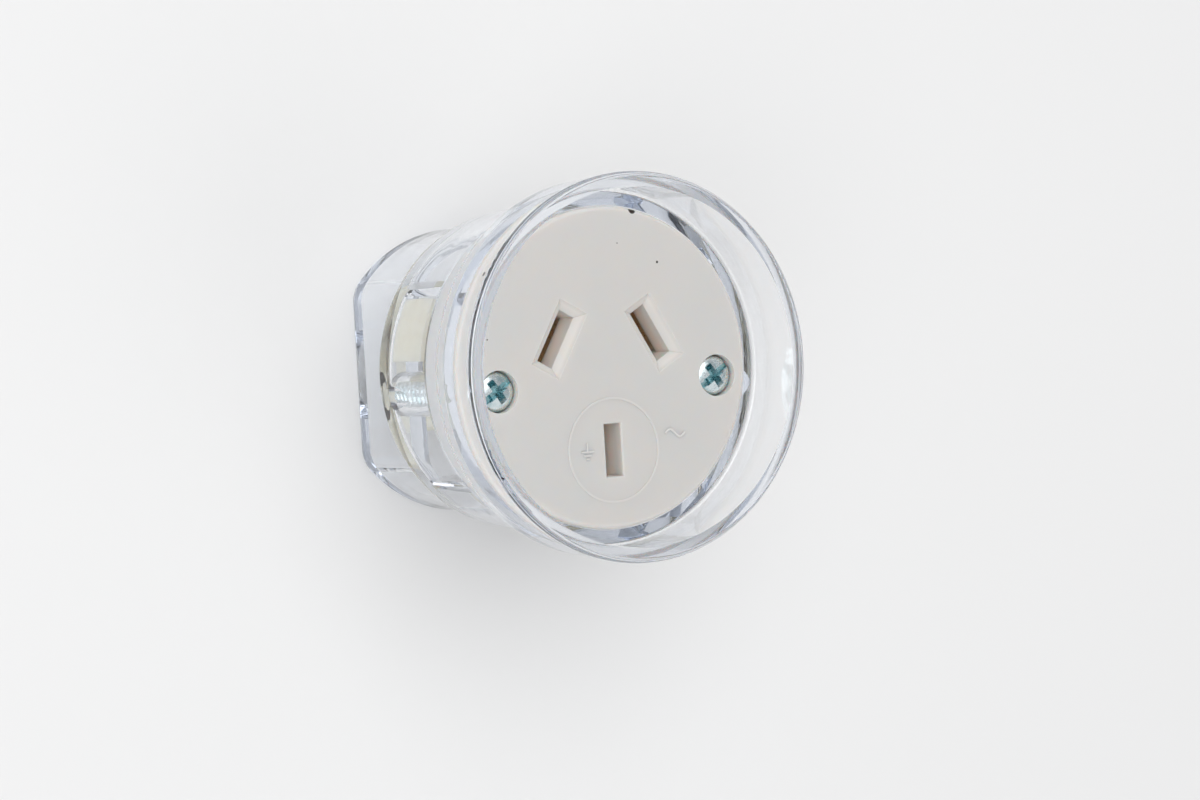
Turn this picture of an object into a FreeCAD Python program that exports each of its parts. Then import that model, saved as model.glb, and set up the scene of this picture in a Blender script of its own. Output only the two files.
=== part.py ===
# Inline socket connector: a clear one piece body with a three slot insert, wired from inside.
# The socket axis is Z. The tail end face is at zero and the rim is at the top.
import FreeCAD, Part
import math
import os

V = FreeCAD.Vector
UP = V(0, 0, 1)

# Cutters run past the faces that they open, and a length below the second value counts as zero
past = 1.0
tiny = 1e-6

# Lengths along the axis
tail_length = 17.5
body_length = 21.0
collar_length = 9.9
face_depth = 7.9
face_proud = 0.7
skirt_depth = 9.5
contact_depth = 13.5

# Clear body, whose radii step out and in from the disc of the insert
disc_radius = 20.1
insert_gap = 0.1
body_wall = 1.8
body_draft = 1.5
collar_step = 2.2
collar_draft = 0.6
shroud_wall = 1.9
bore_draft = 0.15
ledge_width = 0.6
tail_step = 1.8
flat_step = 5.45
tail_corner = 4.5
cavity_round = 0.9
end_wall = 2.4
inlet_radius = 4.4
inlet_collar_wall = 1.5
inlet_collar_length = 4.2
inlet_lip = 1.2
rim_round = 0.7
collar_round = 0.5
shoulder_round = 0.8
tail_round = 1.7
round_land = 0.1
boss_radius = 2.7
boss_floor = 1.0
rib_gap = 1.2
upper_rib_y = 9.35
upper_rib_thickness = 1.65
lower_rib_y = -15.3
lower_rib_thickness = 3.2
lower_rib_clear = 6.0
rib_drop = 0.4

# Slots of the insert, at the standard places of a flat pin plug
pin_circle_radius = 7.92
pin_angle = 60.0
earth_radius = 10.31
slot_length = 7.1
slot_width = 2.25
lead_in = 1.05
earth_slot_length = 6.6
earth_slot_width = 2.35
earth_edge = 0.15
witness_radius = 6.6
witness_width = 0.25
witness_height = 0.1

# Insert
seat_gap = 0.2
disc_thickness = 2.5
throat_depth = 1.9
disc_round = 0.5
skirt_wall = 1.5
tower_wall = 1.3
tower_round = 0.65
pillar_radius = 2.6
pad_radius = 3.8
pad_floor = 2.5
centre_boss_radius = 3.0

# Contacts and their terminals
strip = 0.6
leaf_inset = 0.25
jaw_flare = 0.35
jaw_pinch = 1.4
fold_radius = 0.2
bend_radius = 0.3
tip_gap = 0.5
pinch_drop = 2.6
root_rise = 0.6
pocket_gap = 0.35
terminal_size = 5.4
terminal_length = 7.6
terminal_round = 0.3
tunnel_radius = 1.6
tunnel_depth = 6.0
tunnel_lip = 0.6
terminal_gap = 0.2
terminal_screw_z = 2.6
rivet_radius = 0.75
rivet_depth = 1.0
rivet_head_height = 0.6

# Screws
screw_inset = 4.7
screw_y = -2.0
head_radius = 2.5
head_height = 1.9
head_drop = 0.45
head_gap = 0.15
shank_radius = 1.5
point_length = 1.6
thread_gap = 0.05
clear_gap = 0.15
small_head_radius = 2.1
small_head_height = 1.3
small_shank_radius = 1.3
small_point = 0.6
head_round = 0.5
driver_slot = 0.7
driver_slot_depth = 0.8
cross_width = 0.85
cross_length = 3.3
cross_depth = 1.3
driver_turn = 35.0
terminal_screw_length = 2.5
terminal_screw_proud = 0.8
retainer_screw_length = 8.8

# Contact retainer with its cord saddle
plate_inset = 3.0
plate_thickness = 2.8
cheek_low = 1.9
cheek_root = 1.2
cheek_gap = 0.3
cord_radius = 3.9
saddle_inset = 2.25
saddle_bottom = -7.0
saddle_top = 2.6
clamp_gap = 2.4
clamp_width = 5.0
leg_width = 2.6
leg_low = -6.5
leg_high = -1.0
bar_thickness = 3.4
bar_round = 0.85
grip_height = 1.2
grip_width = 1.6
grip_half_length = 3.2
clamp_screw_length = 10.4

# Levels worked out from the lengths
shoulder_z = tail_length
collar_z = shoulder_z + body_length
rim_z = collar_z + collar_length
face_z = rim_z - face_depth
floor_z = face_z - face_proud
under_disc_z = face_z - disc_thickness
pocket_top_z = under_disc_z - throat_depth
skirt_z = face_z - skirt_depth
ledge_z = skirt_z - seat_gap
rib_top_z = ledge_z - rib_drop
cavity_floor_z = shoulder_z + body_wall
hole_floor_z = shoulder_z + boss_floor
head_seat_z = face_z - head_drop - head_height
plate_front_z = face_z - contact_depth
plate_rear_z = plate_front_z - plate_thickness
cheek_end_z = cavity_floor_z + cheek_gap
tower_end_z = plate_front_z + strip + thread_gap
terminal_rear_z = plate_front_z - terminal_length
terminal_screw_level = terminal_rear_z + terminal_screw_z
inlet_top_z = end_wall + inlet_collar_length
clamp_z = inlet_top_z + clamp_gap
clamp_end_z = clamp_z + clamp_width
clamp_middle_z = clamp_z + clamp_width / 2

# Sizes that follow from the walls and the slots
body_front_radius = disc_radius + insert_gap + body_wall
body_rear_radius = body_front_radius - body_draft
rim_radius = body_front_radius + collar_step
tail_radius = body_rear_radius - tail_step
tail_half_flat = body_rear_radius - flat_step
wiring_radius = body_rear_radius - body_wall - ledge_width
screw_x = body_rear_radius - screw_inset
plate_radius = wiring_radius - plate_inset
cheek_radius = wiring_radius - cheek_gap
saddle_half_width = tail_half_flat - body_wall - saddle_inset
saddle_middle = (cord_radius + saddle_half_width) / 2
bar_top = saddle_top + bar_thickness
leaf_half_width = slot_length / 2 - leaf_inset
jaw_open = slot_width + jaw_flare
shank_length = head_seat_z - hole_floor_z - clear_gap

slot_names = ("active", "neutral", "earth")


def body_radius(z):
    """Outer radius of the tapered body at a level."""
    share = (z - shoulder_z) / body_length
    return body_rear_radius + (body_front_radius - body_rear_radius) * share


def seat_radius(z):
    """Inner radius of the body around the insert."""
    return body_radius(z) - body_wall


def low_radius(z):
    """Inner radius of the body behind the ledge."""
    return seat_radius(z) - ledge_width


def rounded_face(corners):
    """Flat face in the XZ plane from (x, z, round) corners, with tangent arcs at the rounded ones."""
    count = len(corners)
    starts = []
    ends = []
    middles = []
    for index, (x, z, radius) in enumerate(corners):
        here = V(x, 0, z)
        before = V(corners[index - 1][0], 0, corners[index - 1][1]) - here
        after = V(corners[(index + 1) % count][0], 0, corners[(index + 1) % count][1]) - here
        if radius == 0:
            starts.append(here)
            ends.append(here)
            middles.append(None)
            continue
        half = before.getAngle(after) / 2
        back = radius / math.tan(half)
        before.normalize()
        after.normalize()
        bisector = before + after
        bisector.normalize()
        starts.append(here + before * back)
        ends.append(here + after * back)
        middles.append(here + bisector * (radius / math.sin(half) - radius))
    edges = []
    for index in range(count):
        if middles[index] is not None:
            edges.append(Part.Arc(starts[index], middles[index], ends[index]).toShape())
        start = ends[index]
        end = starts[(index + 1) % count]
        if (end - start).Length > tiny:
            edges.append(Part.LineSegment(start, end).toShape())
    return Part.Face(Part.Wire(edges))


def turned(corners):
    """Solid of revolution about Z from (radius, z, round) corners."""
    return rounded_face(corners).revolve(V(0, 0, 0), UP, 360)


def post(radius, low, high, x=0, y=0):
    """Upright cylinder between two levels."""
    return Part.makeCylinder(radius, high - low, V(x, y, low))


def block(x0, x1, y0, y1, z0, z1):
    """Box between two corners."""
    return Part.makeBox(x1 - x0, y1 - y0, z1 - z0, V(x0, y0, z0))


def ring(inner, outer, low, high):
    """Upright tube between two levels."""
    return post(outer, low, high).cut(post(inner, low - past, high + past))


def upright_edges(shape):
    """Edges of a shape that run along Z."""
    return [edge for edge in shape.Edges if max(edge.BoundBox.XLength, edge.BoundBox.YLength) < tiny]


def rectangle(length, width, z):
    """Closed outline centred on the axis, width along X and length along Y."""
    points = [V(-width / 2, -length / 2, z), V(width / 2, -length / 2, z)]
    points += [V(width / 2, length / 2, z), V(-width / 2, length / 2, z), V(-width / 2, -length / 2, z)]
    return Part.makePolygon(points)


def at_slot(shape, name):
    """Copy of a shape made on the axis, turned and moved to one of the three slots."""
    across = pin_circle_radius * math.sin(math.radians(pin_angle))
    ahead = pin_circle_radius * math.cos(math.radians(pin_angle))
    places = {
        "active": (V(-across, ahead, 0), pin_angle - 90),
        "neutral": (V(across, ahead, 0), 90 - pin_angle),
        "earth": (V(0, -earth_radius, 0), 180),
    }
    place, turn = places[name]
    moved = shape.copy()
    moved.rotate(V(0, 0, 0), UP, turn)
    moved.translate(place)
    return moved


def facing_out(shape, name):
    """Copy of a shape made facing +Y, turned to face the wall of the body, at one of the slots."""
    turns = {"active": 90, "neutral": -90, "earth": 0}
    turned_shape = shape.copy()
    turned_shape.rotate(V(0, 0, 0), UP, turns[name])
    return at_slot(turned_shape, name)


def dee_face(radius, half_flat, corner, z):
    """Round section with a flat on the left and right and rounded corners between."""
    corner_x = half_flat - corner
    corner_y = math.sqrt((radius - corner) ** 2 - corner_x ** 2)
    reach = radius / (radius - corner)
    angle = math.atan2(corner_y, corner_x) / 2
    edges = []
    for side_y in (1, -1):
        left = V(-corner_x * reach, side_y * corner_y * reach, z)
        right = V(corner_x * reach, side_y * corner_y * reach, z)
        edges.append(Part.Arc(left, V(0, side_y * radius, z), right).toShape())
        for side_x in (1, -1):
            end = V(side_x * corner_x * reach, side_y * corner_y * reach, z)
            knee_x = corner_x + corner * math.cos(angle)
            knee_y = corner_y + corner * math.sin(angle)
            knee = V(side_x * knee_x, side_y * knee_y, z)
            start = V(side_x * half_flat, side_y * corner_y, z)
            edges.append(Part.Arc(end, knee, start).toShape())
    for side_x in (1, -1):
        low = V(side_x * half_flat, -corner_y, z)
        high = V(side_x * half_flat, corner_y, z)
        edges.append(Part.LineSegment(low, high).toShape())
    return Part.Face(Part.Wire(Part.sortEdges(edges)[0]))


def body_outside():
    """Round body with its collar, and the flatted tail behind it."""
    round_body = turned([
        (0, shoulder_z, 0),
        (body_rear_radius, shoulder_z, shoulder_round),
        (body_front_radius, collar_z, collar_round),
        (rim_radius - collar_draft, collar_z, collar_round),
        (rim_radius, rim_z, rim_round),
        (0, rim_z, 0),
    ])
    tail = dee_face(tail_radius, tail_half_flat, tail_corner, 0).extrude(UP * cavity_floor_z)
    end_edges = [edge for edge in tail.Edges if edge.BoundBox.ZMax < tiny]
    tail = tail.makeFillet(min(tail_round, end_wall - round_land), end_edges)
    return round_body.fuse(tail)


def body_inside():
    """Bore of the shroud, seat of the insert, wiring space and cord inlet as one tool."""
    bore = rim_radius - shroud_wall
    round_space = turned([
        (0, cavity_floor_z, 0),
        (low_radius(cavity_floor_z), cavity_floor_z, cavity_round),
        (low_radius(ledge_z), ledge_z, 0),
        (seat_radius(ledge_z), ledge_z, 0),
        (seat_radius(floor_z), floor_z, 0),
        (bore - bore_draft, floor_z, bore_draft),
        (bore, rim_z + past, 0),
        (0, rim_z + past, 0),
    ])
    corner = max(tail_corner - body_wall, cavity_round)
    tail_space = dee_face(tail_radius - body_wall, tail_half_flat - body_wall, corner, end_wall)
    tail_space = tail_space.extrude(UP * (cavity_floor_z + past - end_wall))
    return round_space.fuse(tail_space)


def rib_band():
    """Room that the ribs may fill, between the wall and the retainer."""
    outer = body_rear_radius - shoulder_round
    return ring(plate_radius + rib_gap, outer, shoulder_z + shoulder_round, rib_top_z)


def body_ribs(side):
    """Upper and lower rib on one side of the wiring space."""
    band = rib_band()
    levels = ((upper_rib_y, upper_rib_thickness), (lower_rib_y, lower_rib_thickness))
    near = side * lower_rib_clear
    far = side * body_rear_radius
    ribs = []
    for low, thickness in levels:
        bar = block(min(near, far), max(near, far), low, low + thickness, 0, rim_z)
        ribs.append(bar.common(band))
    return ribs


def inlet_tool():
    """Bore for the cord, with a rounded mouth."""
    wide = inlet_radius + inlet_lip + past
    return turned([
        (0, -past, 0),
        (wide, -past, 0),
        (inlet_radius, inlet_lip, inlet_lip),
        (inlet_radius, inlet_top_z + past, 0),
        (0, inlet_top_z + past, 0),
    ])


def clear_housing():
    """One clear moulding: shroud, body, tail, screw bosses, ribs and cord inlet."""
    shell = body_outside().cut(body_inside())
    solids = [post(inlet_radius + inlet_collar_wall, end_wall / 2, inlet_top_z)]
    tools = [terminal_room(name) for name in slot_names]
    tools.append(inlet_tool())
    for side in (-1, 1):
        solids += body_ribs(side)
        solids.append(post(boss_radius, shoulder_z + boss_floor / 2, skirt_z, side * screw_x, screw_y))
        tools.append(post(shank_radius + thread_gap, hole_floor_z, rim_z, side * screw_x, screw_y))
    return shell.multiFuse(solids).cut(Part.makeCompound(tools)).removeSplitter()


def slot_tool(length, width, bevel):
    """Slot through the face of the insert, with a bevel all round its mouth."""
    narrow = rectangle(length, width, face_z - bevel)
    wide = rectangle(length + 4 * bevel, width + 4 * bevel, face_z + bevel)
    shaft = block(-width / 2, width / 2, -length / 2, length / 2, pocket_top_z - past, face_z)
    return shaft.fuse(Part.makeLoft([narrow, wide], True, True))


def contact_pocket():
    """Tower behind a slot, and the room in it for one contact, which stops short of the disc."""
    half_width = jaw_open / 2 + strip + pocket_gap
    half_length = leaf_half_width + pocket_gap
    pocket = block(-half_width, half_width, -half_length, half_length, tower_end_z - past, pocket_top_z)
    outer_width = half_width + tower_wall
    outer_length = half_length + tower_wall
    tower = block(-outer_width, outer_width, -outer_length, outer_length, tower_end_z, under_disc_z)
    return tower.makeFillet(tower_round, upright_edges(tower)), pocket


def insert_cup():
    """Disc with its round edge and the skirt behind it."""
    skirt_low = seat_radius(skirt_z) - insert_gap
    skirt_high = seat_radius(under_disc_z) - insert_gap
    return turned([
        (0, face_z, 0),
        (disc_radius, face_z, disc_round),
        (skirt_high, under_disc_z, 0),
        (skirt_low, skirt_z, 0),
        (skirt_low - skirt_wall, skirt_z, 0),
        (skirt_high - skirt_wall, under_disc_z, 0),
        (0, under_disc_z, 0),
    ])


def socket_insert():
    """Slotted disc with a skirt, contact towers, screw pillars and a centre boss behind it."""
    tower, pocket = contact_pocket()
    solids = [at_slot(tower, name) for name in slot_names]
    solids.append(post(centre_boss_radius, plate_front_z, under_disc_z))
    witness_low = face_z - witness_height
    witness = ring(witness_radius - witness_width, witness_radius, witness_low, face_z + witness_height)
    solids.append(witness.translated(V(0, -earth_radius, 0)))
    tools = [at_slot(pocket, name) for name in slot_names]
    for name in slot_names[:2]:
        tools.append(at_slot(slot_tool(slot_length, slot_width, lead_in), name))
    tools.append(at_slot(slot_tool(earth_slot_length, earth_slot_width, earth_edge), "earth"))
    for side in (-1, 1):
        x = side * screw_x
        solids.append(post(pillar_radius, skirt_z, under_disc_z, x, screw_y))
        solids.append(post(pad_radius, head_seat_z - pad_floor, under_disc_z, x, screw_y))
        tools.append(post(shank_radius + clear_gap, skirt_z - past, face_z, x, screw_y))
        tools.append(post(head_radius + head_gap, head_seat_z, rim_z, x, screw_y))
    centre_end = plate_rear_z + retainer_screw_length + clear_gap
    tools.append(post(small_shank_radius + thread_gap, plate_front_z - past, centre_end))
    return insert_cup().multiFuse(solids).cut(Part.makeCompound(tools)).removeSplitter()


def spring_contact(name):
    """Brass strip folded to a pair of jaws that grip the blade of a plug."""
    root = plate_front_z
    tip = pocket_top_z - tip_gap
    pinch = tip - pinch_drop
    knee = root + strip + root_rise
    inner = jaw_open / 2
    nip = jaw_pinch / 2
    half = [
        (inner + strip, root, fold_radius + strip),
        (inner + strip, knee, bend_radius),
        (nip + strip, pinch, bend_radius),
        (inner + strip, tip, 0),
        (inner, tip, 0),
        (nip, pinch, bend_radius),
        (inner, knee, bend_radius),
        (inner, root + strip, fold_radius),
    ]
    mirrored = [(-x, z, radius) for x, z, radius in reversed(half)]
    jaws = rounded_face(half + mirrored).extrude(V(0, 2 * leaf_half_width, 0))
    jaws.translate(V(0, -leaf_half_width, 0))
    hole = post(rivet_radius + thread_gap, root - past, root + strip + past)
    return at_slot(jaws.cut(hole), name)


def terminal(name):
    """Brass block with a tunnel for the wire and a tapped side hole for its screw."""
    half = terminal_size / 2
    body = block(-half, half, -half, half, terminal_rear_z, plate_front_z)
    body = body.makeFillet(terminal_round, upright_edges(body))
    tunnel_end = terminal_rear_z + tunnel_depth
    tunnel = turned([
        (0, terminal_rear_z - past, 0),
        (tunnel_radius + tunnel_lip + past, terminal_rear_z - past, 0),
        (tunnel_radius, terminal_rear_z + tunnel_lip, 0),
        (tunnel_radius, tunnel_end, 0),
        (0, tunnel_end, 0),
    ])
    tapped = small_shank_radius + thread_gap
    side = Part.makeCylinder(tapped, terminal_size, V(0, 0, terminal_screw_level), V(0, 1, 0))
    rivet_end = plate_front_z - rivet_depth - thread_gap
    rivet_hole = post(rivet_radius + thread_gap, rivet_end, plate_front_z + past)
    return facing_out(body.cut(Part.makeCompound([tunnel, side, rivet_hole])), name)


def cross_wing(height):
    """One bar of a cross recess: deep in the middle and shallower towards its ends."""
    half = cross_width / 2
    reach = cross_length / 2
    mouth = height + past
    middle = height - cross_depth / 2
    floor = height - cross_depth
    side = [(-reach, mouth), (reach, mouth), (reach, height), (reach - half, middle)]
    side += [(half, floor), (-half, floor), (half - reach, middle), (-reach, height), (-reach, mouth)]
    wing = Part.Face(Part.makePolygon([V(x, -half, z) for x, z in side]))
    return wing.extrude(V(0, cross_width, 0))


def driven_head(radius, height, crossed):
    """Cheese head standing on zero, with a slot and, if crossed, a cross recess in line with it."""
    head = turned([
        (0, 0, 0),
        (radius, 0, 0),
        (radius, height, min(head_round, height / 2)),
        (0, height, 0),
    ])
    half_slot = driver_slot / 2
    tools = [block(-radius, radius, -half_slot, half_slot, height - driver_slot_depth, height + past)]
    if crossed:
        tools.append(cross_wing(height))
        tools.append(cross_wing(height).rotated(V(0, 0, 0), UP, 90))
    return head.cut(Part.makeCompound(tools))


def screw(head_r, head_h, shank_r, length, point, crossed):
    """Screw standing on its axis, head up, with the underside of the head at zero."""
    shank = turned([
        (0, -length, 0),
        (shank_r - point / 2, -length, 0),
        (shank_r, point - length, 0),
        (shank_r, 0, 0),
        (0, 0, 0),
    ])
    return driven_head(head_r, head_h, crossed).fuse(shank).removeSplitter()


def small_screw(length, crossed):
    """One of the short screws inside."""
    return screw(small_head_radius, small_head_height, small_shank_radius, length, small_point, crossed)


def fixing_screw(side):
    """Long screw from the face down into a boss of the body."""
    body = screw(head_radius, head_height, shank_radius, shank_length, point_length, True)
    body.rotate(V(0, 0, 0), UP, driver_turn)
    body.translate(V(side * screw_x, screw_y, head_seat_z))
    return body


def terminal_screw(name):
    """Short screw that stands a little out of the side of its terminal."""
    body = small_screw(terminal_screw_length, False)
    body.rotate(V(0, 0, 0), V(1, 0, 0), -90)
    body.translate(V(0, terminal_size / 2 + terminal_screw_proud, terminal_screw_level))
    return facing_out(body, name)


def contact_rivet(name):
    """Brass rivet that joins a contact to its terminal."""
    seat = plate_front_z + strip
    rivet_head_radius = jaw_open / 2 - fold_radius - thread_gap
    body = turned([
        (0, plate_front_z - rivet_depth, 0),
        (rivet_radius, plate_front_z - rivet_depth, 0),
        (rivet_radius, seat, 0),
        (rivet_head_radius, seat, 0),
        (rivet_head_radius, seat + rivet_head_height, rivet_head_height / 2),
        (0, seat + rivet_head_height, 0),
    ])
    return at_slot(body, name)


def cord_saddle():
    """Lower half of the cord clamp, on two legs behind the retainer plate."""
    half = saddle_half_width
    saddle = block(-half, half, saddle_bottom, saddle_top, clamp_z, clamp_end_z)
    left_leg = block(-half, leg_width - half, leg_low, leg_high, clamp_z, plate_front_z)
    right_leg = block(half - leg_width, half, leg_low, leg_high, clamp_z, plate_front_z)
    channel = post(cord_radius, clamp_z - past, clamp_end_z + past)
    mouth = block(-cord_radius, cord_radius, 0, saddle_top + past, clamp_z - past, clamp_end_z + past)
    return saddle.cut(channel.fuse(mouth)).multiFuse([left_leg, right_leg])


def clamp_holes(radius, low, high):
    """Pair of holes for the clamp screws, along Y."""
    holes = []
    for x in (-saddle_middle, saddle_middle):
        holes.append(Part.makeCylinder(radius, high - low, V(x, low, clamp_middle_z), V(0, 1, 0)))
    return Part.makeCompound(holes)


def retainer_cheek(side):
    """Curved wall behind the rim of the plate, between a boss and an upper rib of the body."""
    band = ring(plate_radius - cheek_root, cheek_radius, cheek_end_z, plate_front_z)
    high = upper_rib_y - cheek_gap
    far = side * cheek_radius
    room = block(min(0, far), max(0, far), cheek_low, high, cheek_end_z, plate_front_z)
    return room.common(band)


def terminal_room(name):
    """Room that a terminal and the head of its screw need in the retainer and the body."""
    half = terminal_size / 2 + terminal_gap
    window = block(-half, half, -half, half, terminal_rear_z - terminal_gap, plate_front_z + past)
    reach = terminal_size / 2 + terminal_screw_proud + small_head_height + terminal_gap
    head_room = small_head_radius + terminal_gap
    way = Part.makeCylinder(head_room, reach, V(0, 0, terminal_screw_level), V(0, 1, 0))
    return facing_out(window.fuse(way), name)


def contact_retainer():
    """Plate that holds the contacts in, with side cheeks and the cord saddle."""
    plate = post(plate_radius, plate_rear_z, plate_front_z)
    plate = plate.multiFuse([cord_saddle(), retainer_cheek(-1), retainer_cheek(1)])
    tools = [terminal_room(name) for name in slot_names]
    tools.append(post(small_shank_radius + clear_gap, plate_rear_z - past, plate_front_z + past))
    notch_radius = boss_radius + cheek_gap
    for side in (-1, 1):
        tools.append(post(notch_radius, cheek_end_z - past, plate_front_z + past, side * screw_x, screw_y))
    hole_end = bar_top - clamp_screw_length - clear_gap
    tools.append(clamp_holes(small_shank_radius + thread_gap, hole_end, saddle_top + past))
    return plate.cut(Part.makeCompound(tools)).removeSplitter()


def cord_clamp_bar():
    """Bar across the cord, with a grip rib on its underside."""
    half = saddle_half_width
    bar = block(-half, half, saddle_top, bar_top, clamp_z, clamp_end_z)
    top_edges = [edge for edge in bar.Edges if edge.BoundBox.YMin > bar_top - tiny]
    long_edges = [edge for edge in top_edges if edge.BoundBox.XLength > half]
    bar = bar.makeFillet(bar_round, long_edges)
    grip = block(
        -grip_half_length, grip_half_length,
        saddle_top - grip_height, saddle_top,
        clamp_middle_z - grip_width / 2, clamp_middle_z + grip_width / 2,
    )
    holes = clamp_holes(small_shank_radius + clear_gap, saddle_top - past, bar_top + past)
    return bar.fuse(grip).cut(holes).removeSplitter()


def clamp_screw(side):
    """Screw that pulls the bar down on the saddle."""
    body = small_screw(clamp_screw_length, True)
    body.rotate(V(0, 0, 0), V(1, 0, 0), -90)
    body.translate(V(side * saddle_middle, bar_top, clamp_middle_z))
    return body


def retainer_screw():
    """Centre screw that holds the retainer to the insert."""
    body = small_screw(retainer_screw_length, True)
    body.rotate(V(0, 0, 0), V(1, 0, 0), 180)
    body.translate(V(0, 0, plate_rear_z))
    return body


def all_nodes():
    """Every piece of the socket by its node name."""
    nodes = {
        "clear_housing": clear_housing(),
        "socket_insert": socket_insert(),
        "contact_retainer": contact_retainer(),
        "retainer_screw": retainer_screw(),
        "cord_clamp_bar": cord_clamp_bar(),
    }
    for word, side in (("left", -1), ("right", 1)):
        nodes["fixing_screw_" + word] = fixing_screw(side)
        nodes["clamp_screw_" + word] = clamp_screw(side)
    for name in slot_names:
        nodes[name + "_contact"] = spring_contact(name)
        nodes[name + "_terminal"] = terminal(name)
        nodes[name + "_terminal_screw"] = terminal_screw(name)
        nodes[name + "_rivet"] = contact_rivet(name)
    return nodes


os.makedirs("parts", exist_ok=True)
for node, shape in all_nodes().items():
    solid = shape.Solids[0] if len(shape.Solids) == 1 else shape
    solid.exportStep("parts/" + node + ".step")
    print(node, len(shape.Solids), "solid", round(shape.Volume / 1000, 3), "cm3", "valid", shape.isValid())
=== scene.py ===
"""Looks of a clear inline socket connector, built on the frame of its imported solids."""

import math
from typing import NamedTuple

import bmesh
import bpy
from bpy.props import FloatProperty, FloatVectorProperty, IntProperty, PointerProperty
from mathutils import Matrix, Vector


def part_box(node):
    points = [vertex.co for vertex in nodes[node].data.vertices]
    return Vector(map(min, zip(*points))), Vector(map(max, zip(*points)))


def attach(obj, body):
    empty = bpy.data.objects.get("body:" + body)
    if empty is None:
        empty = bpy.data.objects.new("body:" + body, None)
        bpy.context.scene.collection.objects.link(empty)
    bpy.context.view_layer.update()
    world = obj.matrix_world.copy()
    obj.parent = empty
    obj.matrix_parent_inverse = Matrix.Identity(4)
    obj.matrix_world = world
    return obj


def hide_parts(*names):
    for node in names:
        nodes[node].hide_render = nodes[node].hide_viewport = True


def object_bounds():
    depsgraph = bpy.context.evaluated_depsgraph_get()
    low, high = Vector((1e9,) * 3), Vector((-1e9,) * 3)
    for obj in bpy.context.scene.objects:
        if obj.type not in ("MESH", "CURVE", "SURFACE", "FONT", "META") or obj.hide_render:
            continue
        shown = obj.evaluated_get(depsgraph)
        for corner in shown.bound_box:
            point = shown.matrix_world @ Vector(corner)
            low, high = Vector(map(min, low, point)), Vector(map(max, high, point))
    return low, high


bl_info = {
    "name": "Inline Socket Connector",
    "version": (1, 0, 0),
    "blender": (4, 5, 0),
    "location": "View3D > Sidebar > Socket",
    "description": "Clear moulded socket with its insert, contacts, threaded screws and a plain stage",
    "category": "Object",
}

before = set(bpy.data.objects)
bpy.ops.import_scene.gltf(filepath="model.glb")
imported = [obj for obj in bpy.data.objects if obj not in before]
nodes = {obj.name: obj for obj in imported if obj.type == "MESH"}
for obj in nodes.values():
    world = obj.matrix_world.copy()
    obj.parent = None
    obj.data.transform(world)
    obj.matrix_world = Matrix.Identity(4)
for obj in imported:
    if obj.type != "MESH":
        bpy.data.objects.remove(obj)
cad_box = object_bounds()

MM = 0.001
SLOT_NAMES = ("active", "neutral", "earth")
SIDES = ("left", "right")
# Points nearer to each other than this are one, in metres.
TINY = 2e-7
# How far the heads of the fixing screws lie below the face of the insert.
HEAD_SINK = 0.45 * MM
# Length of a terminal screw, and from the middle of its block to the seat of its head, in millimetres.
TERMINAL_SCREW_LENGTH = 2.5
TERMINAL_SCREW_SEAT = 3.5
# Specks of dirt, as (x, y, z, radius) in metres. On the insert, z counts from its face.
RING_SPECKS = ((-0.02055, 0.01259, 0.0469, 0.0003),)
FACE_SPECKS = (
    (0.0047, 0.01945, -0.0001, 0.0005), (0.0079, 0.01276, 0.0, 0.00016),
    (0.00222, 0.01542, 0.0, 0.00008), (-0.0171, 0.0045, 0.0, 0.0001),
)


class Screw(NamedTuple):
    """Sizes of one kind of screw, in millimetres."""
    head_radius: float
    head_height: float
    head_round: float
    shank_radius: float
    point: float
    slot_width: float
    slot_depth: float
    cross_width: float
    cross_length: float
    cross_depth: float


LONG_SCREW = Screw(
    head_radius=2.5, head_height=1.9, head_round=0.5, shank_radius=1.5, point=1.6,
    slot_width=0.75, slot_depth=0.85, cross_width=1.0, cross_length=3.5, cross_depth=1.4)
SMALL_SCREW = Screw(
    head_radius=2.1, head_height=1.3, head_round=0.5, shank_radius=1.3, point=0.6,
    slot_width=0.7, slot_depth=0.8, cross_width=0.85, cross_length=3.3, cross_depth=1.0)


class ClearLook(bpy.types.PropertyGroup):
    """Clear moulded plastic of the body."""
    tint: FloatVectorProperty(
        name="Tint", description="Colour that the clear plastic gives to light passing through",
        subtype="COLOR", size=3, min=0, max=1, default=(0.99, 0.995, 1.0))
    lamp_tint: FloatVectorProperty(
        name="Shadow tint", description="Light that the clear plastic lets through from the lamps",
        subtype="COLOR", size=3, min=0, max=1, default=(0.97, 0.972, 0.978))
    depth_tint: FloatVectorProperty(
        name="Depth tint", description="Colour that light takes on as it goes deep into the plastic",
        subtype="COLOR", size=3, min=0, max=1, default=(0.58, 0.69, 0.88))
    depth: FloatProperty(
        name="Depth density", description="How strongly the plastic takes light in, for each metre",
        min=0, default=18)
    ior: FloatProperty(
        name="Refraction", description="Index of refraction of the plastic",
        min=1, max=2, default=1.57)
    roughness: FloatProperty(
        name="Roughness", description="Roughness of the polished mould",
        subtype="FACTOR", min=0, max=1, default=0.008)
    facet: FloatProperty(
        name="Facet", description="Angle that one facet of the round walls takes up",
        subtype="ANGLE", min=0.01, default=math.radians(2))
    ripple_size: FloatProperty(
        name="Ripple size", description="Width of the slow waves left by the moulding",
        unit="LENGTH", min=0.0005, default=0.006)
    ripple_height: FloatProperty(
        name="Ripple height", description="Height of those waves",
        unit="LENGTH", min=0, default=0.000015)
    speck_colour: FloatVectorProperty(
        name="Speck colour", description="Colour of the speck of dirt on the shroud ring",
        subtype="COLOR", size=3, min=0, max=1, default=(0.05, 0.05, 0.055))


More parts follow.
